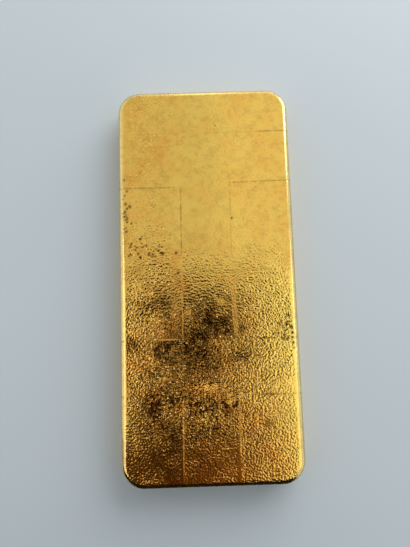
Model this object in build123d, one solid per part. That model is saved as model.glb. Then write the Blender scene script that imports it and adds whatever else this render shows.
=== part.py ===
"""A cast gold bar of one kilogram, as it lies on a table with its pebbled mould face up.

The metal is poured into an open mould whose walls lean outwards, so that the bar drops out when the
mould is turned over. The bar is therefore widest at its poured face, which is underneath here, and
narrowest at the mould face, which is on top. It is one solid piece of metal:

* the walls lean in by the mould's draft from the poured face up to the mould face,
* the four upright corners are large arcs, which get tighter up the leaning wall,
* a generous radius runs round the mould face, where the mould's floor meets its walls,
* a small radius runs round the poured face, where the metal's skin drew away from the wall,
* the poured face is hollowed a little, because the middle sinks as the metal shrinks. The bar rests
  on the flat rim that the hollow leaves.

Lengths are in millimetres. The bar's length is along Y and its width along X, and Z is up. The origin
is at the middle of the footprint, on the surface that the bar lies on.
"""

import os
from math import radians, sin, tan

from build123d import *

# The poured face, which is the widest outline of the bar
LENGTH = 117.5
WIDTH = 53.0
CORNER_RADIUS = 7.25

# From the surface that the bar rests on to the mould face
THICKNESS = 8.83

# Lean of the mould's walls from upright, in degrees
DRAFT_ANGLE = 4.0

# Rounding of the edges round the two faces
MOULD_FACE_EDGE_RADIUS = 2.0
POURED_FACE_EDGE_RADIUS = 0.6

# The shrinkage hollow in the poured face
HOLLOW_DEPTH = 0.45
HOLLOW_RIM_WIDTH = 3.5
HOLLOW_SLOPE_WIDTH = 13.0
HOLLOW_CORNER_RADIUS = 4.0
HOLLOW_SECTIONS = 4

# How far a cutting tool stands out of the face that it cuts
TOOL_OVERRUN = 1.0

GOLD_GRAMS_PER_CUBIC_MM = 19.32e-3


def bar_outline(height: float) -> Sketch:
    """The bar's outline at a height above the poured face, drawn in by the lean of the walls."""
    inset = height * tan(radians(DRAFT_ANGLE))
    outline = RectangleRounded(WIDTH - 2 * inset, LENGTH - 2 * inset, CORNER_RADIUS - inset)
    return Plane.XY.offset(height) * outline


def hollow_outline(inset: float, depth: float) -> Sketch:
    """The hollow's outline at a depth in the poured face, a distance in from the bar's edge."""
    outline = RectangleRounded(WIDTH - 2 * inset, LENGTH - 2 * inset, HOLLOW_CORNER_RADIUS)
    return Plane.XY.offset(depth) * outline


def cast_body() -> Part:
    """The drafted block with both faces' edges rounded."""
    body = loft([bar_outline(0), bar_outline(THICKNESS)], ruled=True)
    mould_face = body.faces().sort_by(Axis.Z)[-1]
    body = fillet(mould_face.edges(), MOULD_FACE_EDGE_RADIUS)
    poured_face = body.faces().sort_by(Axis.Z)[0]
    return fillet(poured_face.edges(), POURED_FACE_EDGE_RADIUS)


def shrinkage_hollow() -> Part:
    """The metal that is missing from the poured face.

    Its sides start steepest at the rim and level out into a flat middle, along a quarter of a sine.
    """
    sections = []
    for step in range(HOLLOW_SECTIONS):
        share = step / (HOLLOW_SECTIONS - 1)
        inset = HOLLOW_RIM_WIDTH + HOLLOW_SLOPE_WIDTH * share
        depth = HOLLOW_DEPTH * sin(radians(90) * share)
        sections.append(hollow_outline(inset, depth))
    below_the_face = extrude(sections[0], amount=-TOOL_OVERRUN)
    return loft(sections) + below_the_face


def gold_bar() -> Part:
    """The whole bar, one solid."""
    return cast_body() - shrinkage_hollow()


bar = gold_bar()
os.makedirs("parts", exist_ok=True)
export_step(bar, "parts/ingot.step")

print(f"volume {bar.volume / 1000:.2f} cm3, weight in fine gold {bar.volume * GOLD_GRAMS_PER_CUBIC_MM:.1f} g")
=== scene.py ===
"""A one-kilogram bar of cast fine gold on a pale table, modelled and finished round its CAD solid.

The bar was poured into an open graphite mould and lies with its mould face up. The graphite leaves that
face pebbled, the mould's inlaid plates leave hairline seams in it, and trapped gas leaves small pits.
Soot and old handling stain it brown in clouds, and part of that darkening and browning is a painted
reflection of the dark and brown things over and before the bar. The poured face underneath is smooth,
sunk in the middle and faintly ringed where the metal froze from its edge inwards.

Sizes are in millimetres, and are turned into metres where Blender's data is made.
"""

import logging
import math
from dataclasses import dataclass, field
from enum import Enum
from functools import partial
from typing import Callable

import bpy
import numpy as np
from mathutils import Euler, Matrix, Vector


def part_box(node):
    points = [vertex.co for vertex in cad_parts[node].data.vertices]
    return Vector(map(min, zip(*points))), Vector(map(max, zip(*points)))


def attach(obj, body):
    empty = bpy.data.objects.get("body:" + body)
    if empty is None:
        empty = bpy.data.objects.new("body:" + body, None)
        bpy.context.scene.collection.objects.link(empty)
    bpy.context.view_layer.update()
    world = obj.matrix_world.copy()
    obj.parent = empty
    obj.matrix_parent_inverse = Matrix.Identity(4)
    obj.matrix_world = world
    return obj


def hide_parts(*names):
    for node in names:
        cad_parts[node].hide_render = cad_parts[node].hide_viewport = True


Array = np.ndarray
ArrayPair = tuple[Array, Array]
Pair = tuple[float, float]
Triple = tuple[float, float, float]
Socket = bpy.types.NodeSocket

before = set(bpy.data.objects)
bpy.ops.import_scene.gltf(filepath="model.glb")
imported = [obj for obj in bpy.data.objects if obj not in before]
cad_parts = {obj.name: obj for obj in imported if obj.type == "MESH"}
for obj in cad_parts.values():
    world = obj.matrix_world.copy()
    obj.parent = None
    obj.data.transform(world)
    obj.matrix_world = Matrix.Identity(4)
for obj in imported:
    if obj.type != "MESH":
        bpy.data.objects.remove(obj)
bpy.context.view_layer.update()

MM = 0.001

log = logging.getLogger("gold_bar")

# What the mesh tells the gold's finish of each of its points, all of them shares from 0 up: how thick the
# haze of soot and painted dark reflection is, how many specks lie on it, how dark an even stain is (the
# pits are drawn darker with it), how warm the metal's colour is (partly a painted warm reflection), how
# dull its surface, how strong its pebbling, and how strongly a pale highlight is painted on its edge.
SKIN_SHARES = ("haze", "specks", "stain", "warmth", "dullness", "pebbling", "rubbed")


def linear(hex_colour: str) -> tuple[float, float, float, float]:
    """Turns an sRGB hex colour with a leading # into linear red, green and blue, and an alpha of one."""
    channels = [int(hex_colour[place:place + 2], 16) / 255 for place in (1, 3, 5)]
    return (*(c / 12.92 if c <= 0.04045 else ((c + 0.055) / 1.055) ** 2.4 for c in channels), 1.0)


def add_node(
    tree: bpy.types.NodeTree, kind: str, settings: dict | None = None, **links: Socket
) -> bpy.types.NodeOutputs:
    """Adds a node to a tree, sets it up and links it.

    Args:
        tree: The node tree that gets the node.
        kind: Blender's name of the node's type, without the leading ShaderNode.
        settings: Values by name: first of the node's own settings, else of an input socket. A number as
            the name is the place of a socket.
        links: Sockets that feed the node's inputs, by the input's name with _ for a space, or by its
            place with a leading _.

    Returns:
        The new node's outputs.
    """
    node = tree.nodes.new("ShaderNode" + kind)
    for name, value in (settings or {}).items():
        if isinstance(name, str) and hasattr(node, name):
            setattr(node, name, value)
        else:
            node.inputs[name].default_value = value
    for name, socket in links.items():
        place = int(name[1:]) if name.startswith("_") else name.replace("_", " ")
        tree.links.new(socket, node.inputs[place])
    return node.outputs


def empty_tree(owner: bpy.types.Material | bpy.types.World) -> bpy.types.NodeTree:
    """Clears the nodes that a material or a world starts with.

    Args:
        owner: The material or the world.

    Returns:
        Its empty node tree.
    """
    owner.use_nodes = True
    owner.node_tree.nodes.clear()
    return owner.node_tree


def add_object(
    name: str, data: bpy.types.ID, place: Triple = (0.0, 0.0, 0.0), turn: Triple = (0.0, 0.0, 0.0)
) -> bpy.types.Object:
    """Adds an object to the scene.

    Args:
        name: Its name.
        data: Its mesh, lamp or lens.
        place: Where it stands, in millimetres.
        turn: How far it is turned about x, y and z, in degrees.

    Returns:
        The object.
    """
    thing = bpy.data.objects.new(name, data)
    thing.location = Vector(place) * MM
    thing.rotation_euler = Euler([math.radians(angle) for angle in turn])
    bpy.context.collection.objects.link(thing)
    return thing


def smooth_step(low: float, high: float, value: Array) -> Array:
    """Turns values into shares that rise smoothly from 0 at low to 1 at high, which may be the lower."""
    share = np.clip((value - low) / (high - low), 0.0, 1.0)
    return share * share * (3.0 - 2.0 * share)


def spread(reach: float, steps: int, closeness: Callable[[Array], Array]) -> Array:
    """Spreads points over a stretch around zero, closer together where that is asked for.

    Args:
        reach: How far the stretch goes to either side.
        steps: How many steps lie between the first point and the last.
        closeness: Gives for places in the stretch how close the points lie there, against each other.

    Returns:
        The points, in order.
    """
    samples_per_step = 40
    places = np.linspace(-reach, reach, samples_per_step * steps + 1)
    close = closeness(places)
    passed = np.concatenate([[0.0], np.cumsum((close[1:] + close[:-1]) / 2)])
    return np.interp(np.linspace(0.0, passed[-1], steps + 1), passed, places)


class Run(Enum):
    """Which way a seam of the mould runs over the bar."""

    ALONG = "along the bar's length"
    ACROSS = "across its width"


class Form(Enum):
    """The section of a seam."""

    RIDGE = "metal that ran into the joint between two plates"
    GROOVE = "a line that a plate's raised rim pressed in"
    LIP = "a step between plates of uneven height, with its steep side towards +X or +Y"


@dataclass(frozen=True)
class Waves:
    """A relief without direction, such as orange peel: many plane waves of like length, added up.

    The sum is scaled so that its standard deviation is one.
    """

    shortest: float
    longest: float
    seed: int
    count: int = 90

    def height(self, x: Array, y: Array) -> Array:
        """Adds the waves up at some places.

        Args:
            x, y: The places, in millimetres.

        Returns:
            The relief there, which has no unit.
        """
        random = np.random.default_rng(self.seed)
        lengths = random.uniform(self.shortest, self.longest, self.count)
        headings = random.uniform(0, math.tau, self.count)
        phases = random.uniform(0, math.tau, self.count)
        total = np.zeros_like(x)
        for length, heading, phase in zip(lengths, headings, phases):
            along = x * math.cos(heading) + y * math.sin(heading)
            total += np.cos(math.tau * along / length + phase)
        return total / math.sqrt(self.count / 2)


@dataclass(frozen=True)
class Outline:
    """A rectangle with rounded corners, centred on the origin."""

    width: float
    length: float
    corner: float
    # A grid over the outline is bent to the arcs in squares this many times as wide as a corner.
    bent_zone: float = 1.8

    def grown(self, distance: float) -> "Outline":
        """The outline that runs outside this one at a distance."""
        return Outline(self.width + 2 * distance, self.length + 2 * distance, self.corner + distance)

    def past_straights(self, x: Array, y: Array) -> ArrayPair:
        """How far places lie past the straight parts of the sides, across the width and along the length."""
        return np.abs(x) - (self.width / 2 - self.corner), np.abs(y) - (self.length / 2 - self.corner)

    def depth(self, x: Array, y: Array) -> Array:
        """How far places lie inside the outline.

        Args:
            x, y: The places.

        Returns:
            Their distances to the outline, negative outside.
        """
        over_x, over_y = self.past_straights(x, y)
        outside = np.hypot(np.maximum(over_x, 0), np.maximum(over_y, 0))
        return self.corner - outside - np.minimum(np.maximum(over_x, over_y), 0)

    def outward(self, x: Array, y: Array) -> ArrayPair:
        """The directions that point straight at the nearest part of the outline.

        Args:
            x, y: The places.

        Returns:
            The directions' x and y, of length one.
        """
        over_x, over_y = self.past_straights(x, y)
        out_x = np.where(over_y > 0, np.maximum(over_x, 0), (over_x > over_y) * 1.0)
        out_y = np.where(over_x > 0, np.maximum(over_y, 0), (over_x <= over_y) * 1.0)
        long = np.hypot(out_x, out_y)
        return np.sign(x) * out_x / long, np.sign(y) * out_y / long

    def grid(self, across: Array, along: Array) -> ArrayPair:
        """Lays a grid over the outline, with its border on the outline.

        Its lines are straight but for a zone at each corner, which is drawn in towards the zone's inner
        corner until its outer corner lies on the arc.

        Args:
            across: The places of the grid's lines across the width, from edge to edge.
            along: Their places along the length.

        Returns:
            The x and the y of the grid's points, a row for each place along the length.
        """
        zone = self.bent_zone * self.corner
        shift = zone - self.corner
        x, y = np.meshgrid(across, along)
        in_x = np.abs(x) - (self.width / 2 - zone)
        in_y = np.abs(y) - (self.length / 2 - zone)
        not_zero = 1e-9
        far = np.maximum(np.hypot(in_x, in_y), not_zero)
        aim_x, aim_y = in_x / far, in_y / far
        aim_more = np.maximum(np.maximum(aim_x, aim_y), not_zero)
        to_square = zone / aim_more
        middle = shift * (aim_x + aim_y)
        to_arc = middle + np.sqrt(np.maximum(middle**2 - 2 * shift**2 + self.corner**2, 0))
        hits_arc = (np.minimum(aim_x, aim_y) / aim_more) * zone > shift
        pull = np.where((in_x > 0) & (in_y > 0) & hits_arc, to_arc / to_square, 1.0)
        warped_x = np.sign(x) * (self.width / 2 - zone + in_x * pull)
        warped_y = np.sign(y) * (self.length / 2 - zone + in_y * pull)
        return np.where(pull < 1, warped_x, x), np.where(pull < 1, warped_y, y)


@dataclass(frozen=True)
class Seam:
    """A hairline that a joint between two of the mould's plates leaves in the bar.

    The stain is how dark it is with old soot, and the warmth is how orange its metal is.
    """

    form: Form
    start: Pair
    end: Pair
    height: float = 0.05
    width: float = 0.5
    stain: float = 0.0
    warmth: float = 0.0
    fade: float = 1.5
    # How much of the pebbling it takes away.
    smoothing: float = 0.8
    # A lip rises over this many times its own width before it drops.
    lip_run_up: float = 5.0
    # A seam that is longer than this is worth a finer mesh.
    fine_from: float = 8.1

    def run(self) -> Run:
        """Which way the seam runs."""
        reach_x, reach_y = abs(self.end[0] - self.start[0]), abs(self.end[1] - self.start[1])
        return Run.ALONG if reach_y > reach_x else Run.ACROSS

    def turned(self) -> tuple[Pair, Pair]:
        """The start and the end, each as its place along the seam's run and its place across it."""
        return (self.start, self.end) if self.run() is Run.ACROSS else (self.start[::-1], self.end[::-1])

    def off_line(self, x: Array, y: Array) -> ArrayPair:
        """Where places lie against the seam.

        Args:
            x, y: The places.

        Returns:
            How many half widths they lie off its middle line, and a share that fades at its ends.
        """
        along, across = (y, x) if self.run() is Run.ALONG else (x, y)
        first, last = self.turned()
        share = (along - first[0]) / (last[0] - first[0])
        line = first[1] + np.clip(share, 0, 1) * (last[1] - first[1])
        inside = np.minimum(share, 1 - share) * abs(last[0] - first[0])
        return (across - line) / (self.width / 2), smooth_step(-self.fade, self.fade, inside)

    def mark(self, x: Array, y: Array) -> Array:
        """How much places belong to the seam, from 0 to 1 on its middle line."""
        off, present = self.off_line(x, y)
        return present * np.exp(-(off**2))

    def relief(self, x: Array, y: Array) -> Array:
        """Works out how much the seam raises the face.

        Args:
            x, y: The places.

        Returns:
            The rise there in millimetres.
        """
        off, present = self.off_line(x, y)
        if self.form is Form.LIP:
            run_up = np.clip(1.0 + (off + 1.0) / (2 * self.lip_run_up), 0.0, 1.0)
            return self.height * present * run_up**2 * smooth_step(1.0, -1.0, off)
        section = np.exp(-(off**2))
        return self.height * present * (section if self.form is Form.RIDGE else -section)

    def nearness(self, across: Array) -> Array:
        """Finds how near places are to the seam, across its run.

        Args:
            across: Where they lie in that direction.

        Returns:
            A share for each, 1 on the seam.
        """
        first, last = self.turned()
        reach = abs(last[1] - first[1]) / 2 + self.width
        return np.exp(-(((across - (first[1] + last[1]) / 2) / reach) ** 4))


@dataclass(frozen=True)
class Pit:
    """A small hole that a bubble of gas left against the mould."""

    x: float
    y: float
    radius: float
    depth: float = 0.12

    def profile(self, x: Array, y: Array, power: int = 2) -> Array:
        """The pit's share of its own depth: 1 in its middle, and 0 away from it."""
        return np.exp(-((np.hypot(x - self.x, y - self.y) / self.radius) ** power))


@dataclass(frozen=True)
class PitCluster:
    """A patch of the mould face with many small pits."""

    x: float
    y: float
    spread: Pair
    count: int
    seed: int
    radii: Pair = (0.2, 0.42)
    depth_share: float = 0.3

    def pits(self) -> list[Pit]:
        """Scatters the cluster's pits, most of them near its middle.

        Returns:
            The pits.
        """
        random = np.random.default_rng(self.seed)
        places = random.normal((self.x, self.y), self.spread, (self.count, 2))
        radii = random.uniform(*self.radii, self.count)
        return [Pit(x, y, radius, self.depth_share * radius) for (x, y), radius in zip(places, radii)]


@dataclass(frozen=True)
class Cloud:
    """A soft-edged patch of the mould face where something is more, or less, than elsewhere."""

    x: float
    y: float
    reach: Pair
    strength: float

    def share(self, x: Array, y: Array) -> Array:
        """The cloud's strength at some places."""
        far = np.hypot((x - self.x) / self.reach[0], (y - self.y) / self.reach[1])
        return self.strength * np.exp(-(far**2))


def overlaid(clouds: tuple[Cloud, ...], x: Array, y: Array) -> Array:
    """Lays clouds over each other, none of which takes the total past one."""
    return 1.0 - np.prod([1.0 - cloud.share(x, y) for cloud in clouds], axis=0)


@dataclass
class MouldFace:
    """The relief and the stains of the pebbled face that lies up."""

    pebbles: Waves = Waves(1.0, 2.2, seed=11, count=140)
    swell: Waves = Waves(7.0, 16.0, seed=5, count=40)
    patches: Waves = Waves(4.0, 14.0, seed=23, count=50)
    wear: Waves = Waves(0.9, 3.0, seed=51, count=40)
    pebble_height: float = 0.009
    swell_height: float = 0.010
    # The pebbling fades from the first of these places along the bar to the second, by the smoothness.
    # The margins beside the middle keep more of it, the left one most.
    fading: Pair = (-14.0, 17.0)
    far_smoothness: float = 0.78
    margin: Pair = (4.0, 18.0)
    margin_gain: float = 0.35
    right_margin: float = 0.3
    patchiness: float = 0.2
    least_pebbling: float = 0.12
    most_pebbling: float = 1.4
    # Where the face's long sides start to round off, and how wide a border along them is hardly pebbled.
    half_width: float = 24.0
    smooth_border: float = 2.6
    border_pebbling: float = 0.25
    # How patchy the haze is, how much of a seam's stain is left, how unevenly that is worn, and how much
    # darker the pits are drawn.
    haze_patchiness: float = 0.3
    stain_left: float = 0.85
    stain_wear: float = 0.3
    pit_darkening: float = 0.9
    # How dull a seam of full warmth is.
    seam_dulling: float = 0.7
    # How close the mesh's points lie at a seam, and past a stretch of the bar, against elsewhere.
    seam_closeness: float = 2.4
    smooth_closeness: float = 0.75
    coarsening: Pair = (14.0, 20.0)
    seams: tuple[Seam, ...] = (
        Seam(Form.GROOVE, (-7.3, 27.4), (-7.5, 6), height=0.03, width=0.36, stain=0.5),
        Seam(Form.LIP, (-7.5, 5), (-7.7, -17.3), height=0.1, width=0.8, warmth=0.65),
        Seam(Form.GROOVE, (-6.9, 2), (-7, -17.3), height=0, width=0.8, stain=0.15, smoothing=0.3),
        Seam(Form.LIP, (-8, -33.2), (-8.3, -54), height=0.08, warmth=0.3, fade=4),
        Seam(Form.RIDGE, (-8.5, -48), (-8.7, -62), width=1.3, fade=5),
        Seam(Form.GROOVE, (7.3, 29.4), (7, 6), height=0.02, width=0.36, stain=0.25),
        Seam(Form.RIDGE, (-9.2, 9), (-9.6, -17), height=0, width=2.8, warmth=0.5, smoothing=0.3),
        Seam(Form.LIP, (7.2, -1), (7.8, -17.9), height=0.1, width=2, warmth=0.6, fade=4, smoothing=0.6),
        Seam(Form.LIP, (8, -35), (7.5, -50), height=0.04, width=0.9, warmth=0.3, fade=4),
        Seam(Form.RIDGE, (7.6, -43), (7.2, -62), width=1.3, fade=6),
        Seam(Form.RIDGE, (2.1, -33), (1.9, -41), warmth=0.5),
        Seam(Form.RIDGE, (-15.9, -41), (-16, -47), warmth=0.5),
        Seam(Form.GROOVE, (16, 44.4), (30, 44.5), height=0.03, width=0.36, stain=0.5),
        Seam(Form.GROOVE, (1, 44.2), (16, 44.4), height=0.01, width=0.4, stain=0.12),
        Seam(Form.RIDGE, (-30, 43.2), (-13, 43), height=0.025, width=0.4),
        Seam(Form.GROOVE, (-30, 27.7), (-9.5, 27.6), height=0.03, width=0.4, stain=0.45),
        Seam(Form.RIDGE, (-30, 28.1), (-9.5, 28), height=0.03, width=0.36),
        Seam(Form.GROOVE, (7.4, 28.7), (30, 29), height=0.03, width=0.36, stain=0.45),
        Seam(Form.LIP, (-16, -17.1), (-7.7, -17.2), height=0.1, width=0.8, warmth=0.6, fade=2.5),
        Seam(Form.GROOVE, (-30, -17.3), (-24.5, -17.3), height=0.08, stain=0.9),
        Seam(Form.GROOVE, (13, -17.5), (30, -17.6), height=0.04, stain=0.35),
        Seam(Form.GROOVE, (-30, -32.8), (-24.5, -32.8), stain=0.5),
        Seam(Form.GROOVE, (11, -33.1), (30, -33.3), height=0.03, stain=0.35),
    )
    loose_pits: tuple[Pit, ...] = (
        Pit(-23.7, 22.9, 0.42),
        Pit(-22.3, 21.9, 0.36),
        Pit(-23.9, 25.4, 0.28),
        Pit(-23.8, 20.6, 0.38),
        Pit(-23.5, 19.1, 0.32),
        Pit(-23.3, 17.5, 0.38),
        Pit(-19.4, 12.3, 0.42),
        Pit(-22.3, 10.2, 0.36),
        Pit(-20.6, 9.8, 0.36),
        Pit(-19.4, 6.6, 0.4),
        Pit(-14.2, 8.6, 0.4),
        Pit(-13, 7.6, 0.46),
        Pit(7.6, 17.8, 0.32),
        Pit(22.5, -11.2, 0.4),
        Pit(23.4, -14.6, 0.42),
        Pit(23.7, -16.2, 0.45),
        Pit(20.9, -17.9, 0.4),
        Pit(23.8, -19, 0.5),
        Pit(24, -20.5, 0.4),
    )
    clusters: tuple[PitCluster, ...] = (
        PitCluster(-18, 8.4, (4.6, 2.6), 20, seed=3),
        PitCluster(-23.4, 19, (0.5, 5), 13, seed=4),
        PitCluster(22, -14.4, (1.5, 3.8), 22, seed=7),
        PitCluster(0, -35.2, (5, 2.2), 30, seed=9),
    )
    # Soot lies on the face as an even haze, and on top of that in specks. The haze also paints in the
    # dark reflection of what stands over the bar.
    haze: tuple[Cloud, ...] = (
        Cloud(-1.2, -11.5, (8, 7), 0.78),
        Cloud(1.8, -8.5, (3.6, 3.4), 0.45),
        Cloud(-4.8, -11.5, (2.4, 5), 0.45),
        Cloud(-5, -20.6, (6, 6), 0.9),
        Cloud(-12.9, -19.9, (5.6, 2.9), 0.92),
        Cloud(-13, -9, (5.5, 6), 0.8),
        Cloud(6.5, -16.5, (5, 5.5), 0.9),
        Cloud(8.6, -21.5, (2.8, 4.6), 0.6),
        Cloud(-4.5, -25.5, (6, 4), 0.85),
        Cloud(-14, -30, (4, 4), 0.3),
        Cloud(-2, -45, (14, 8), 0.4),
        Cloud(-16, -36, (4.6, 5.5), 0.9),
        Cloud(-12, -54, (12, 7), 0.22),
        Cloud(-18.5, -49.5, (2.6, 1.7), 0.5),
        Cloud(-14, -52.5, (2.8, 2.4), 0.45),
        Cloud(-23.3, -49.5, (1.8, 1.6), 0.4),
        Cloud(-11.7, -43.5, (2.6, 3.2), 0.4),
        Cloud(-2.5, -50, (3.4, 2.2), 0.3),
        Cloud(3.5, -45.5, (3, 2.2), 0.3),
        Cloud(12, -47, (7, 8), 0.15),
        Cloud(-18, -15, (5, 6), 0.15),
        Cloud(23, -14, (2.4, 4.6), 0.15),
    )
    specks: tuple[Cloud, ...] = (
        Cloud(-12.9, -19.8, (5.4, 2), 0.9),
        Cloud(-6, -19.5, (4, 5), 0.6),
        Cloud(8, -21, (2.4, 4), 0.5),
        Cloud(-16, -36, (4.4, 5), 1),
        Cloud(-9, -33.6, (4.6, 2.4), 0.85),
        Cloud(0, -36, (7, 2.8), 0.78),
        Cloud(6, -36, (3.2, 2), 0.6),
        Cloud(1, -40, (5.5, 4), 0.5),
        Cloud(-6, -43, (12, 5), 0.55),
        Cloud(-18, -15, (5, 6), 0.35),
        Cloud(22.8, -15, (2.4, 4.6), 0.6),
        Cloud(-17, 8.6, (4.6, 3), 0.5),
        Cloud(-24.2, 18, (1.1, 7), 0.5),
    )
    # Here the soot is wiped off, and with it the painted dark reflection.
    bare: tuple[Cloud, ...] = (
        Cloud(3.6, -6.8, (1.9, 1.7), 0.95),
        Cloud(-2.6, -30.3, (5.5, 2.2), 0.9),
        Cloud(-9.9, -4, (1.9, 12), 0.5),
        Cloud(-12, -15.6, (5, 1.8), 0.9),
    )
    # Here the metal is redder, partly as a painted warm reflection, here its pebbling is weaker, and here
    # its surface is duller.
    warm_and_reflected: tuple[Cloud, ...] = (
        Cloud(-11.8, -16.4, (4.4, 1.4), 0.3),
        Cloud(-20, 40, (14, 40), 0.22),
        Cloud(-16.2, 36.5, (5, 7), 0.2),
        Cloud(-14, -12, (12, 14), 0.15),
        Cloud(-20, -32, (10, 14), 0.4),
        Cloud(-3, -25, (14, 24), 0.6),
        Cloud(9, -17, (6, 10), 0.3),
        Cloud(12, -44, (9, 14), 0.45),
        Cloud(-17, -52, (9, 8), 0.5),
        Cloud(-4, -60, (24, 16), 0.8),
    )
    calm: tuple[Cloud, ...] = (
        Cloud(3.6, -6.8, (2.5, 1.9), 0.96),
        Cloud(1, -10, (7, 6), 0.2),
        Cloud(5, 4, (18, 7), 0.35),
        Cloud(-4.5, -18.5, (6, 7), 0.45),
        Cloud(6.5, -15, (3.5, 4), 0.3),
        Cloud(-0.5, -30.6, (7.5, 2.6), 0.7),
        Cloud(-14, -47, (7, 6), 0.5),
        Cloud(-2, -52, (16, 8), 0.4),
        Cloud(20.5, -38, (5.5, 9), 0.75),
    )
    dull: tuple[Cloud, ...] = (
        Cloud(-11.8, -16.2, (4.4, 1.3), 0.35),
    )

    def pits(self) -> list[Pit]:
        """Every pit of the face."""
        return [*self.loose_pits, *(pit for cluster in self.clusters for pit in cluster.pits())]

    def closeness(self, run: Run, place: Array) -> Array:
        """How close the mesh's points should lie along one of the bar's directions.

        Args:
            run: The run of the seams that the direction crosses.
            place: Places in that direction.

        Returns:
            A closeness for each: 1 on the pebbled part, more at a seam, less on the smooth far third.
        """
        near_seam = np.zeros_like(place)
        for seam in self.seams:
            if seam.run() is run and math.dist(seam.start, seam.end) > seam.fine_from:
                near_seam = np.maximum(near_seam, seam.nearness(place))
        close = 1.0 + (self.seam_closeness - 1.0) * near_seam
        if run is Run.ALONG:
            return close
        return close * (1.0 - (1.0 - self.smooth_closeness) * smooth_step(*self.coarsening, place))

    def pebbling(self, x: Array, y: Array) -> Array:
        """How strongly the mould's pebbling is taken up at some places.

        Args:
            x, y: The places.

        Returns:
            A share of the full height.
        """
        margin = smooth_step(*self.margin, np.abs(x)) * np.where(x < 0, 1.0, self.right_margin)
        faded = smooth_step(*self.fading, y) * (self.far_smoothness - self.margin_gain * margin)
        patchy = 1.0 + self.patchiness * self.patches.height(x, y)
        share = patchy * (1.0 - faded) * (1.0 - overlaid(self.calm, x, y))
        for seam in self.seams:
            share = share * (1.0 - seam.smoothing * seam.mark(x, y))
        inside = smooth_step(-0.5, self.smooth_border, self.half_width - np.abs(x))
        border = self.border_pebbling + (1.0 - self.border_pebbling) * inside
        return np.clip(share, self.least_pebbling, self.most_pebbling) * border

    def relief(self, x: Array, y: Array) -> Array:
        """The height of the face over its flat mean.

        Args:
            x, y: The places.

        Returns:
            The heights in millimetres.
        """
        height = self.pebble_height * self.pebbles.height(x, y) * self.pebbling(x, y)
        height += self.swell_height * self.swell.height(x, y)
        for seam in self.seams:
            height += seam.relief(x, y)
        for pit in self.pits():
            height -= pit.depth * pit.profile(x, y)
        return height

    def skin(self, x: Array, y: Array) -> dict[str, Array]:
        """Works out what the finish needs to know of the face.

        Args:
            x, y: The places.

        Returns:
            The skin's shares there, by name.
        """
        clouds = (self.bare, self.haze, self.specks, self.warm_and_reflected, self.dull)
        wiped, haze, specks, warmth, dullness = (overlaid(some, x, y) for some in clouds)
        patchy = np.clip(1.0 + self.haze_patchiness * self.patches.height(y, x), 0.0, 1.6)
        worn = np.clip(self.stain_left + self.stain_wear * self.wear.height(x, y), 0.0, 1.3)
        haze = haze * (1.0 - wiped) * patchy
        specks = specks * (1.0 - wiped)
        stain = np.zeros_like(x)
        for seam in self.seams:
            here = seam.mark(x, y)
            haze = haze * (1.0 - here)
            specks = specks * (1.0 - here)
            stain = np.maximum(stain, seam.stain * here * worn)
            warmth = np.maximum(warmth, seam.warmth * here)
            dullness = np.maximum(dullness, self.seam_dulling * seam.warmth * here)
        for pit in self.pits():
            # The pits are drawn darker.
            stain = np.maximum(stain, self.pit_darkening * pit.profile(x, y, power=4))
        shares = (haze, specks, stain, warmth, dullness, self.pebbling(x, y), np.zeros_like(x))
        return dict(zip(SKIN_SHARES, shares))


@dataclass
class PouredFace:
    """The face that froze in the open, which is underneath."""

    hollow_depth: float = 0.45
    rim_width: float = 3.5
    slope_width: float = 13.0
    ring_spacing: float = 3.2
    ring_height: float = 0.012
    ring_sway: float = 1.2
    swell: Waves = Waves(6.0, 15.0, seed=41, count=40)
    swell_height: float = 0.03
    # The rings start within this share of the hollow's slope.
    ring_start: float = 0.6
    pebbling: float = 0.15

    def relief(self, x: Array, y: Array, depth: Array) -> Array:
        """How far the face lies over the surface that the bar rests on.

        Args:
            x, y: The places.
            depth: How far the places lie in from the bar's edge.

        Returns:
            The heights in millimetres.
        """
        share = np.clip((depth - self.rim_width) / self.slope_width, 0.0, 1.0)
        hollow = self.hollow_depth * np.sin(math.pi / 2 * share)
        sway = self.swell.height(x, y)
        rings = np.cos(math.tau * (depth + self.ring_sway * sway) / self.ring_spacing)
        uneven = np.maximum(self.ring_height * rings + self.swell_height * sway, -self.hollow_depth / 2)
        return hollow + uneven * smooth_step(0.0, self.ring_start, share)


@dataclass(frozen=True)
class Noise:
    """A cloudy pattern, whose coarsest lumps have a real size in millimetres."""

    size: float
    detail: float
    roughness: float = 0.5

    def settings(self) -> dict[str, float]:
        """The settings of the node that draws it."""
        return {"Scale": 1 / (self.size * MM), "Detail": self.detail, "Roughness": self.roughness}


@dataclass(frozen=True)
class Ramp:
    """A straight change from one share to another, as a number goes from its start to its end."""

    start: float
    end: float
    low: float = 0.0
    high: float = 1.0

    def settings(self) -> dict[str, float]:
        """The settings of the node that draws it."""
        return {"From Min": self.start, "From Max": self.end, "To Min": self.low, "To Max": self.high}


@dataclass(frozen=True)
class Skin:
    """The gold's node tree, with the sockets that tell its other nodes of each place on the bar.

    The shares are what the mesh says of the place, by name. The lumps are the height of the finest
    pebbles around zero, and the crystals' height is 1 at a tip and 0 beside them.
    """

    tree: bpy.types.NodeTree
    place: Socket
    shares: dict[str, Socket]
    lumps: Socket
    crystals: Socket


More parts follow.
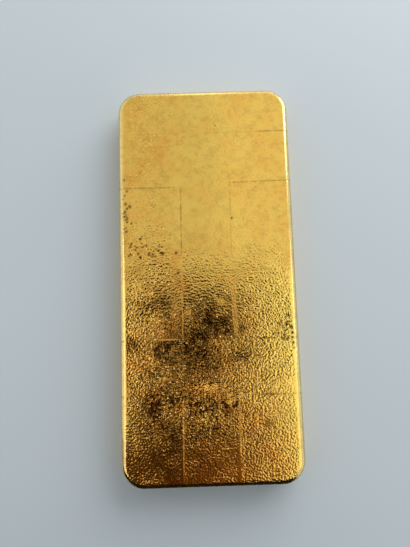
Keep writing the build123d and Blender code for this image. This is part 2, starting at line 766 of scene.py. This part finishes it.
@dataclass(frozen=True)
class CastGold:
    """Fine gold, 999.9, as it comes out of a graphite mould: not polished, tumbled or brushed.

    It is a metal with a deep yellow reflection. The mould gives it a satin skin over the pebbles, so it
    mirrors its surroundings softly, and where soot is burnt in it reflects brown and duller. Part of the
    soot's darkness and of the warm tint is painted dark and warm reflection, the valleys carry painted
    shade, and the crystals' tips and the top edge carry a pale painted highlight.
    """

    clean_colour: str = "#E1BA58"
    # Drifted to at random. Where the warm clouds lie, it is partly a painted warm reflection.
    warm_and_reflected_colour: str = "#D98F3A"
    # A pale cream laid on the crystals' tips and the top edge: a painted highlight.
    rubbed_colour: str = "#F0DC9C"
    # The colour of soot, which also paints in the dark reflection of what stands over the bar.
    soot_and_reflection_colour: str = "#381B0E"
    stain_colour: str = "#4C1F08"
    metallic: float = 1.0
    roughness: float = 0.12
    dull_roughness: float = 0.5
    # How much of that dulling soot brings with it.
    soot_dulling: float = 0.15
    # Where the clean metal's colour drifts towards the warm one.
    tint: Noise = Noise(7.0, detail=5.0)
    drift: Ramp = Ramp(0.42, 0.8, high=0.4)
    # The smallest pebbles of the mould's face, and the grain of its skin. Both are drawn a little
    # coarser than graphite leaves them, so that they show.
    pebbles: Noise = Noise(0.58, detail=0.6)
    pebble_height: float = 0.22
    grain: Noise = Noise(0.3, detail=1.0)
    grain_height: float = 0.01
    # Between the pebbles the metal mirrors itself, which deepens and reddens it. That shade is painted into
    # the colour here.
    valley_shade_colour: str = "#8A4A1A"
    valley_shade: Ramp = Ramp(-0.03, -0.18, high=0.4)
    # Here and there a steep crystal stands out of the skin. It catches light from far off and glints, and
    # its tip is also painted pale as a highlight. It is a cone round the middle of a cell, and not every
    # cell has one.
    crystal_spacing: float = 1.1
    crystal_height: float = 0.12
    cone: Ramp = Ramp(0.22, 0.0)
    chosen: Ramp = Ramp(0.45, 0.5)
    # The soot clumps together. Where specks lie, the clumps pass the level from which they show.
    clumps: Noise = Noise(1.05, detail=1.5)
    speck_gain: float = 0.35
    speck: Ramp = Ramp(0.75, 0.84, high=0.93)
    # Old handling leaves a thin mottled film all over.
    mottling: Noise = Noise(1.9, detail=4.0, roughness=0.6)
    film: Ramp = Ramp(0.45, 0.75, high=0.24)
    # The haze is thickest at clumps and mottles, and thinner on the pebbles' tops.
    haze: Ramp = Ramp(0.8, 1.2, 0.45, 0.95)
    off_tops: Ramp = Ramp(-0.02, 0.14, 1.0, 0.5)

    def skin(self, tree: bpy.types.NodeTree) -> Skin:
        """Starts the nodes with what the others draw on.

        Args:
            tree: The material's empty node tree.

        Returns:
            The skin, with the finest pebbles taken up as strongly as the mould face's pebbling is.
        """
        place = add_node(tree, "TexCoord")["Object"]
        shares = {name: add_node(tree, "Attribute", {"attribute_name": name})["Fac"] for name in SKIN_SHARES}
        noise = add_node(tree, "TexNoise", self.pebbles.settings(), Vector=place)["Fac"]
        around_zero = add_node(tree, "Math", {"operation": "SUBTRACT", 1: 0.5}, _0=noise)[0]
        lumps = add_node(tree, "Math", {"operation": "MULTIPLY"}, _0=around_zero, _1=shares["pebbling"])[0]
        cells = add_node(tree, "TexVoronoi", {"Scale": 1 / (self.crystal_spacing * MM)}, Vector=place)
        cone = add_node(tree, "MapRange", self.cone.settings(), Value=cells["Distance"])[0]
        chosen = add_node(tree, "MapRange", self.chosen.settings(), Value=cells["Color"])[0]
        crystals = add_node(tree, "Math", {"operation": "MULTIPLY"}, _0=cone, _1=chosen)[0]
        return Skin(tree, place, shares, lumps, crystals)

    def relief(self, skin: Skin) -> Socket:
        """Turns the finest pebbles, the skin's grain and the crystals into a bump.

        Args:
            skin: The skin.

        Returns:
            The bumped normal.
        """
        tree, pebbling = skin.tree, skin.shares["pebbling"]
        grain = add_node(tree, "TexNoise", self.grain.settings(), Vector=skin.place)["Fac"]
        standing = add_node(tree, "Math", {"operation": "MULTIPLY"}, _0=skin.crystals, _1=pebbling)[0]
        normal = add_node(tree, "Bump", {"Distance": self.pebble_height * MM}, Height=skin.lumps)["Normal"]
        for height, top in ((grain, self.grain_height), (standing, self.crystal_height)):
            normal = add_node(tree, "Bump", {"Distance": top * MM}, Height=height, Normal=normal)["Normal"]
        return normal

    def soot_and_reflection(self, skin: Skin) -> Socket:
        """Adds up the soot's haze, its specks and the film of old handling.

        Args:
            skin: The skin. Its crystals' tips are wiped bare.

        Returns:
            How much of the metal's own colour is hidden by soot and by painted dark reflection, from 0 to 1.
        """
        tree = skin.tree
        clumps = add_node(tree, "TexNoise", self.clumps.settings(), Vector=skin.place)["Fac"]
        gathered = {"operation": "MULTIPLY_ADD", 1: self.speck_gain}
        level = add_node(tree, "Math", gathered, _0=skin.shares["specks"], _2=clumps)[0]
        specks = add_node(tree, "MapRange", self.speck.settings(), Value=level)[0]
        mottling = add_node(tree, "TexNoise", self.mottling.settings(), Vector=skin.place)["Fac"]
        film = add_node(tree, "MapRange", self.film.settings(), Value=mottling)[0]
        both = add_node(tree, "Math", {"operation": "ADD"}, _0=clumps, _1=mottling)[0]
        uneven = add_node(tree, "MapRange", self.haze.settings(), Value=both)[0]
        off_tops = add_node(tree, "MapRange", self.off_tops.settings(), Value=skin.lumps)[0]
        lying = add_node(tree, "Math", {"operation": "MULTIPLY"}, _0=uneven, _1=off_tops)[0]
        layered = {"operation": "MULTIPLY_ADD"}
        hazy = add_node(tree, "Math", layered, _0=skin.shares["haze"], _1=lying, _2=film)[0]
        over_all = add_node(tree, "Math", {"operation": "MAXIMUM"}, _0=hazy, _1=specks)[0]
        rubbed_off = {"operation": "SUBTRACT", "use_clamp": True}
        return add_node(tree, "Math", rubbed_off, _0=over_all, _1=skin.crystals)[0]

    def material(self) -> bpy.types.Material:
        """Builds the finish from nodes.

        Returns:
            The material.
        """
        material = bpy.data.materials.new("cast_fine_gold")
        tree = empty_tree(material)
        skin = self.skin(tree)
        shares = skin.shares

        tint = add_node(tree, "TexNoise", self.tint.settings(), Vector=skin.place)["Fac"]
        drift = add_node(tree, "MapRange", self.drift.settings(), Value=tint)[0]
        warming = {"operation": "ADD", "use_clamp": True}
        # Random drift, and warm clouds that are partly a painted warm reflection.
        warm_and_reflected = add_node(tree, "Math", warming, _0=drift, _1=shares["warmth"])[0]
        # Painted highlight: the crystals' tips and the top edge are drawn pale, as if they glinted.
        highlight_settings = {"operation": "MULTIPLY_ADD", "use_clamp": True}
        rubbed = add_node(
            tree, "Math", highlight_settings, _0=skin.crystals, _1=shares["pebbling"], _2=shares["rubbed"]
        )[0]
        # Painted shade: the valleys between the pebbles are drawn darker and redder.
        valley_shade = add_node(tree, "MapRange", self.valley_shade.settings(), Value=skin.lumps)[0]
        # Soot, together with the painted dark reflection that the haze lays in.
        soot_and_reflection = self.soot_and_reflection(skin)

        both_colours = {"data_type": "RGBA", 6: linear(self.clean_colour), 7: linear(self.warm_and_reflected_colour)}
        colour = add_node(tree, "Mix", both_colours, _0=warm_and_reflected)[2]
        layers = (
            (rubbed, self.rubbed_colour),
            (valley_shade, self.valley_shade_colour),
            (shares["stain"], self.stain_colour),
            (soot_and_reflection, self.soot_and_reflection_colour),
        )
        for share, upper in layers:
            colour = add_node(tree, "Mix", {"data_type": "RGBA", 7: linear(upper)}, _0=share, _6=colour)[2]

        dulling = {"operation": "MULTIPLY_ADD", 1: self.soot_dulling}
        dull = add_node(tree, "Math", dulling, _0=soot_and_reflection, _2=shares["dullness"])[0]
        polish = {"To Min": self.roughness, "To Max": self.dull_roughness}
        shader = add_node(
            tree,
            "BsdfPrincipled",
            {"Metallic": self.metallic},
            Base_Color=colour,
            Roughness=add_node(tree, "MapRange", polish, Value=dull)[0],
            Normal=self.relief(skin),
        )
        add_node(tree, "OutputMaterial", Surface=shader["BSDF"])
        return material


@dataclass
class GoldBar:
    """The bar itself, one casting, laid over the CAD solid that it stands for.

    The mesh is a fine grid over the mould face, rings of points down the rounded edge and the walls,
    and a coarser grid over the poured face.
    """

    node: str = "ingot"
    draft: float = math.radians(4.0)
    corner: float = 7.25
    top_edge: float = 2.0
    bottom_edge: float = 0.6
    columns: int = 196
    rows: int = 384
    # The poured face has one point for this many of the mould face, in each direction.
    coarser: int = 4
    top_edge_steps: int = 7
    wall_steps: int = 7
    bottom_edge_steps: int = 4
    # The mould face's relief has faded out where the rounded edge leans over this far.
    smooth_from: float = math.radians(50.0)
    wall_texture: Waves = Waves(1.5, 3.4, seed=31)
    wall_texture_height: float = 0.008
    # The wall lies in by this many of those heights, so that its texture stays inside the CAD solid.
    wall_inset: float = 3.0
    # How strongly a pale highlight is painted on the top edge, halfway round it.
    edge_highlight: float = 0.7
    mould_face: MouldFace = field(default_factory=MouldFace)
    poured_face: PouredFace = field(default_factory=PouredFace)
    finish: CastGold = CastGold()

    def __post_init__(self) -> None:
        """Takes the bar's outer sizes from the CAD solid."""
        low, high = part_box(self.node)
        self.thickness = (high.z - low.z) / MM
        # The rounding takes this much off each side of the sharp outline that the walls lean out to.
        worn = self.bottom_edge * (math.tan(math.pi / 4 + self.draft / 2) - 1)
        self.foot = Outline((high.x - low.x) / MM + 2 * worn, (high.y - low.y) / MM + 2 * worn, self.corner)

    def flat_crown(self) -> Outline:
        """The outline of the mould face's flat part, inside its rounded edge."""
        sharp = self.foot.grown(-self.thickness * math.tan(self.draft))
        return sharp.grown(-self.top_edge * math.tan(math.pi / 4 - self.draft / 2))

    def foot_reach(self) -> float:
        """How far the poured face's flat part reaches past the mould face's."""
        flat_foot = self.foot.grown(-self.bottom_edge * math.tan(math.pi / 4 + self.draft / 2))
        return (flat_foot.width - self.flat_crown().width) / 2

    def side_rings(self) -> list[Triple]:
        """The rings of points from the mould face's rim down to the poured face's.

        Returns:
            For each ring how far out from the flat part of the mould face it lies, its height, and how
            far its surface leans over from facing up.
        """
        upright = math.pi / 2 - self.draft
        rings = []
        for step in range(self.top_edge_steps + 1):
            lean = upright * step / self.top_edge_steps
            drop = self.top_edge * (1 - math.cos(lean))
            rings.append((self.top_edge * math.sin(lean), self.thickness - drop, lean))
        foot_rings = []
        for step in range(self.bottom_edge_steps + 1):
            lean = upright + (math.pi - upright) * step / self.bottom_edge_steps
            out = self.bottom_edge * math.sin(lean) + self.foot_reach()
            foot_rings.append((out, self.bottom_edge * (1 + math.cos(lean)), lean))
        above, below = rings[-1], foot_rings[0]
        for step in range(1, self.wall_steps):
            share = step / self.wall_steps
            rings.append(tuple(a + share * (b - a) for a, b in zip(above, below)))
        return rings + foot_rings

    def mould_face_grid(self) -> ArrayPair:
        """The points of the mould face's flat part.

        Returns:
            Their x and y, a row for each place along the bar's length.
        """
        flat = self.flat_crown()
        across = spread(flat.width / 2, self.columns, partial(self.mould_face.closeness, Run.ALONG))
        along = spread(flat.length / 2, self.rows, partial(self.mould_face.closeness, Run.ACROSS))
        return flat.grid(across, along)

    def poured_face_grid(self) -> ArrayPair:
        """The points of the poured face's flat part, each below a point of the mould face or past it.

        Returns:
            Their x and y, in rows.
        """
        flat = self.flat_crown()
        x, y = (places[::self.coarser, ::self.coarser] for places in self.mould_face_grid())
        out_x, out_y = flat.outward(x, y)
        out = self.foot_reach() * smooth_step(flat.corner, 0.0, flat.depth(x, y))
        return x + out * out_x, y + out * out_y

    def build(self) -> bpy.types.Object:
        """Makes the bar's mesh and dresses it.

        Returns:
            The finished piece, riding on the part's body.
        """
        mesh = BarMesh(self)
        mesh.lay_mould_face()
        mesh.lay_sides()
        mesh.lay_poured_face()
        piece = mesh.make_object("gold_bar")
        piece.data.materials.append(self.finish.material())
        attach(piece, "root")
        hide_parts(self.node)
        return piece


class BarMesh:
    """Collects the points and faces of the bar, from the mould face down."""

    def __init__(self, bar: GoldBar) -> None:
        """Starts empty.

        Args:
            bar: The bar whose sizes and faces are followed.
        """
        self.bar = bar
        self.points: list[Array] = []
        self.skins: list[dict[str, Array]] = []
        self.faces: list[list[int]] = []
        self.count = 0
        self.highest = 0.0
        self.rim = np.zeros(0, int)

    def add_points(self, x: Array, y: Array, z: Array, skin: dict[str, Array]) -> Array:
        """Adds points to the mesh.

        Args:
            x, y, z: Where they lie, in millimetres.
            skin: What the finish needs to know there.

        Returns:
            The new points' numbers.
        """
        self.points.append(np.stack([x, y, z], axis=-1).reshape(-1, 3))
        self.skins.append({name: values.reshape(-1) for name, values in skin.items()})
        first = self.count
        self.count += x.size
        return np.arange(first, self.count)

    @staticmethod
    def border(numbers: Array) -> Array:
        """The border of a grid of numbers, anticlockwise from its first."""
        return np.concatenate([numbers[0, :-1], numbers[:-1, -1], numbers[-1, :0:-1], numbers[:0:-1, 0]])

    @staticmethod
    def squares(numbers: Array) -> list[list[int]]:
        """The squares of a grid of numbers, each anticlockwise from its first."""
        corners = (numbers[:-1, :-1], numbers[:-1, 1:], numbers[1:, 1:], numbers[1:, :-1])
        return np.stack([corner.reshape(-1) for corner in corners], axis=-1).tolist()

    def lay_mould_face(self) -> None:
        """Lays the fine grid of the mould face, with its relief."""
        face = self.bar.mould_face
        x, y = self.bar.mould_face_grid()
        relief = face.relief(x, y)
        self.highest = float(relief.max())
        z = self.bar.thickness + relief - self.highest
        numbers = self.add_points(x, y, z, face.skin(x, y)).reshape(x.shape)
        self.faces += self.squares(numbers)
        self.rim = self.border(numbers)

    def lay_sides(self) -> None:
        """Lays the rings of the edges and walls. Below the top edge every second point is left out."""
        bar = self.bar
        points = np.concatenate(self.points)
        x, y = points[self.rim, 0], points[self.rim, 1]
        out_x, out_y = bar.flat_crown().outward(x, y)
        above = self.rim
        for step, (out, z, lean) in enumerate(bar.side_rings()[1:], start=1):
            if step == bar.top_edge_steps + 1:
                x, y, out_x, out_y = x[::2], y[::2], out_x[::2], out_y[::2]
            ring_x, ring_y = x + out * out_x, y + out * out_y
            up_to_wall = min(lean, math.pi / 2)
            taken_up = float(smooth_step(bar.smooth_from, 0.0, np.array(lean)))
            wall_share = math.sin(lean) * float(smooth_step(math.pi, math.pi / 2, np.array(lean)))
            mould = bar.mould_face.relief(ring_x, ring_y) * taken_up - self.highest
            along = np.where(np.abs(out_x) > np.abs(out_y), ring_y, ring_x)
            texture = bar.wall_texture.height(along, np.full_like(along, z)) - bar.wall_inset
            push = mould + bar.wall_texture_height * texture * wall_share
            skin = bar.mould_face.skin(ring_x, ring_y)
            faded = {name: values * (1.0 if name == "stain" else taken_up) for name, values in skin.items()}
            # A painted highlight on the top edge, strongest halfway round it.
            rubbed = np.full_like(x, bar.edge_highlight * math.sin(2 * up_to_wall))
            here = self.add_points(
                ring_x + push * math.sin(lean) * out_x,
                ring_y + push * math.sin(lean) * out_y,
                z + push * math.cos(up_to_wall),
                faded | {"rubbed": rubbed},
            )
            self.join_rings(above, here)
            above = here
        self.rim = above

    def join_rings(self, above: Array, below: Array) -> None:
        """Fills the strip between two rings. The lower may have half as many points.

        Args:
            above: The upper ring's point numbers.
            below: The lower ring's.
        """
        ratio = len(above) // len(below)
        for place in range(len(below)):
            after = (place + 1) % len(below)
            upper = [int(above[(ratio * place + step) % len(above)]) for step in range(ratio + 1)]
            self.faces.append([*reversed(upper), int(below[place]), int(below[after])])

    def lay_poured_face(self) -> None:
        """Lays the coarse grid of the poured face inside the last ring."""
        bar = self.bar
        x, y = bar.poured_face_grid()
        inner_x, inner_y = x[1:-1, 1:-1], y[1:-1, 1:-1]
        z = bar.poured_face.relief(inner_x, inner_y, bar.foot.depth(inner_x, inner_y))
        nothing = np.zeros_like(z)
        plain = dict.fromkeys(SKIN_SHARES, nothing) | {"pebbling": nothing + bar.poured_face.pebbling}
        numbers = np.zeros(x.shape, int)
        numbers[1:-1, 1:-1] = self.add_points(inner_x, inner_y, z, plain).reshape(inner_x.shape)
        border = self.rim[::2]
        numbers.flat[self.border(np.arange(x.size).reshape(x.shape))] = border
        halfway = {
            frozenset((int(this), int(following))): int(middle)
            for this, middle, following in zip(border, self.rim[1::2], np.roll(border, -1))
        }
        for first, *others in self.squares(numbers):
            face = []
            for this, following in zip((first, *reversed(others)), (*reversed(others), first)):
                face.append(this)
                if frozenset((this, following)) in halfway:
                    face.append(halfway[frozenset((this, following))])
            self.faces.append(face)

    def make_object(self, name: str) -> bpy.types.Object:
        """Turns what was collected into an object.

        Args:
            name: The object's name.

        Returns:
            The object, smooth-shaded, with what the finish needs to know as point attributes.
        """
        mesh = bpy.data.meshes.new(name)
        mesh.from_pydata((np.concatenate(self.points) * MM).tolist(), [], self.faces)
        for share in SKIN_SHARES:
            values = np.concatenate([skin[share] for skin in self.skins]).astype(np.float32)
            mesh.attributes.new(share, "FLOAT", "POINT").data.foreach_set("value", values)
        mesh.polygons.foreach_set("use_smooth", np.ones(len(mesh.polygons), bool))
        mesh.validate()
        mesh.update()
        return add_object(name, mesh)


@dataclass(frozen=True)
class MattPaint:
    """The table's pale blue-grey paint, a smooth satin lacquer that hardly mirrors."""

    colour: str = "#C6CDD1"
    roughness: float = 0.55
    specular: float = 0.2

    def material(self) -> bpy.types.Material:
        """Builds the paint from nodes.

        Returns:
            The material.
        """
        material = bpy.data.materials.new("table_paint")
        tree = empty_tree(material)
        look = {
            "Base Color": linear(self.colour),
            "Roughness": self.roughness,
            "Specular IOR Level": self.specular,
        }
        add_node(tree, "OutputMaterial", Surface=add_node(tree, "BsdfPrincipled", look)["BSDF"])
        return material


class CardShape(Enum):
    """The outline of a card: how many points it has, and how square its shoulders are."""

    RECTANGLE = (4, math.inf)
    OVAL = (48, 2.6)


@dataclass(frozen=True)
class Card:
    """A flat studio card that shows only in the bar's reflections."""

    name: str
    centre: Triple
    size: Pair
    turn: Triple = (0.0, 0.0, 0.0)
    colour: str = "#FFFFFF"
    strength: float = 1.0
    # Whether it takes light from the table, too.
    shades: bool = False
    shape: CardShape = CardShape.RECTANGLE

    def outline(self) -> list[Triple]:
        """Works out the points round the card.

        Returns:
            The points in metres from its middle, anticlockwise.
        """
        count, squareness = self.shape.value
        half_x, half_y = self.size[0] / 2 * MM, self.size[1] / 2 * MM
        points = []
        for step in range(count):
            heading = math.tau * (step / count + 5 / 8)
            across, along = (
                math.copysign(abs(share) ** (2 / squareness), share)
                for share in (math.cos(heading), math.sin(heading))
            )
            points.append((half_x * across, half_y * along, 0.0))
        return points

    def build(self) -> bpy.types.Object:
        """Makes the card.

        Returns:
            The card, out of sight of the camera.
        """
        mesh = bpy.data.meshes.new(self.name)
        points = self.outline()
        mesh.from_pydata(points, [], [range(len(points))])
        card = add_object(self.name, mesh, self.centre, self.turn)
        material = bpy.data.materials.new(self.name)
        tree = empty_tree(material)
        glow = add_node(tree, "Emission", {"Color": linear(self.colour), "Strength": self.strength})
        add_node(tree, "OutputMaterial", Surface=glow["Emission"])
        mesh.materials.append(material)
        card.visible_camera = False
        card.visible_diffuse = self.shades
        card.visible_shadow = self.shades
        return card


@dataclass(frozen=True)
class Softbox:
    """A soft lamp that points at the bar."""

    name: str
    centre: Triple
    size: Pair
    brightness: float
    colour: str = "#FFFFFF"

    def build(self) -> bpy.types.Object:
        """Makes the lamp. Its brightness is how bright its face looks, with 1 for white.

        Returns:
            The lamp.
        """
        lamp = bpy.data.lights.new(self.name, "AREA")
        lamp.shape = "RECTANGLE"
        lamp.size, lamp.size_y = self.size[0] * MM, self.size[1] * MM
        lamp.energy = self.brightness * math.pi * lamp.size * lamp.size_y
        lamp.color = linear(self.colour)[:3]
        # Towards the origin, where the bar lies
        holder = add_object(self.name, lamp, self.centre)
        holder.rotation_euler = (-Vector(self.centre)).to_track_quat("-Z", "Y").to_euler()
        return holder


@dataclass
class Studio:
    """The table, the light and the camera."""

    floor_size: float = 2400.0
    floor_drop: float = 0.02
    paint: MattPaint = MattPaint()
    room_colour: str = "#EEF5F8"
    room_light: float = 0.75
    room_mirrored: float = 1.03
    camera_place: Triple = (-1.66, -11.36, 127.36)
    camera_turn: Triple = (6.228, -0.234, -1.775)
    sensor: float = 36.0
    # The picture is 547 pixels high, and a pixel is a 410th of the focal length.
    lens_in_pixels: float = 410.0
    picture_height: float = 547.0
    nearest_seen: float = 1.0
    softboxes: tuple[Softbox, ...] = (
        Softbox("key_window", (440, 640, 360), (840, 600), 4.1),
    )
    cards: tuple[Card, ...] = (
        Card("dark_card", (-3.5, -19, 127), (90, 58), colour="#1A110A", shape=CardShape.OVAL, shades=True),
        Card("amber_card", (-1, -20, 127.6), (108, 64), colour="#A06A3C", shape=CardShape.OVAL),
        Card("notch_card", (10, -1, 126.3), (20, 18), colour="#FFFFF0", strength=0.95),
        Card("gap_card", (6, -53.5, 126), (34, 15), strength=1.7),
        Card("left_dark_card", (-23, -67, 126.5), (32, 34), colour="#120C08"),
        Card("warm_card", (20, -120, 123.5), (48, 116), colour="#886C52"),
        Card("brown_card", (-30, -148, 124), (130, 148), colour="#52412B"),
        Card("far_left_card", (-75, 18, 125), (60, 60), colour="#E4DCD8"),
        Card("left_card", (-116, -60, 125), (90, 170), strength=1.9),
        Card("right_card", (90, -64, 125), (90, 158), colour="#F0FFFF", strength=1.7),
        Card("far_right_card", (76, 113, 128), (130, 188), strength=1.06),
        Card("left_lamp", (-125, 0, 126), (40, 90), strength=3.0),
        Card("right_lamp", (165, 0, 126), (40, 90), strength=3.0),
        Card("left_window", (-420, -30, 150), (300, 500), turn=(0, 90, 0)),
        Card("far_window", (60, 250, 100), (200, 150), turn=(90, 0, 0), strength=1.1),
        Card("far_slot", (4, 245, 100), (40, 150), turn=(90, 0, 0), strength=1.7),
        Card("near_wall_card", (-60, -210, 170), (380, 330), turn=(90, 0, 0), colour="#241A12", shades=True),
        Card("near_card", (-57, -76, 13), (185, 26), turn=(90, 0, 0), colour="#241A12"),
        Card("near_floor_card", (0, -67.5, 0.1), (56, 15), colour="#241A12"),
    )

    def build(self) -> None:
        """Makes the table, the lamps, the cards, the world and the camera."""
        self.lay_floor()
        self.light_world()
        for softbox in self.softboxes:
            softbox.build()
        for card in self.cards:
            card.build()
        self.set_camera()

    def lay_floor(self) -> None:
        """Lays the table's surface just under the bar."""
        half = self.floor_size / 2 * MM
        mesh = bpy.data.meshes.new("table")
        corners = [(-half, -half, 0), (half, -half, 0), (half, half, 0), (-half, half, 0)]
        mesh.from_pydata(corners, [], [range(4)])
        mesh.materials.append(self.paint.material())
        add_object("table", mesh, (0.0, 0.0, -self.floor_drop))

    def light_world(self) -> None:
        """Fills the room with even pale light, which mirrors show brighter than it lights matt things."""
        world = bpy.data.worlds.new("room")
        tree = empty_tree(world)
        rays = add_node(tree, "LightPath")
        either = {"operation": "ADD", "use_clamp": True}
        seen = add_node(tree, "Math", either, _0=rays["Is Camera Ray"], _1=rays["Is Glossy Ray"])[0]
        brighter = {"To Min": self.room_light, "To Max": self.room_mirrored}
        strength = add_node(tree, "MapRange", brighter, Value=seen)[0]
        light = add_node(tree, "Background", {"Color": linear(self.room_colour)}, Strength=strength)
        add_node(tree, "OutputWorld", Surface=light["Background"])
        bpy.context.scene.world = world

    def set_camera(self) -> None:
        """Puts the camera over the bar, where the photograph was taken from."""
        lens = bpy.data.cameras.new("camera")
        lens.sensor_width = self.sensor
        lens.lens = self.sensor * self.lens_in_pixels / self.picture_height
        lens.clip_start = self.nearest_seen * MM
        bpy.context.scene.camera = add_object("camera", lens, self.camera_place, self.camera_turn)


def main() -> None:
    """Builds the bar and its studio, in order."""
    logging.basicConfig(level=logging.INFO, format="%(name)s: %(message)s")
    piece = GoldBar().build()
    triangles = sum(len(face.vertices) - 2 for face in piece.data.polygons)
    log.info("%s: %d points, %d triangles", piece.name, len(piece.data.vertices), triangles)
    Studio().build()
    bpy.context.scene.view_settings.view_transform = "Standard"


if __name__ == "__main__":
    main()
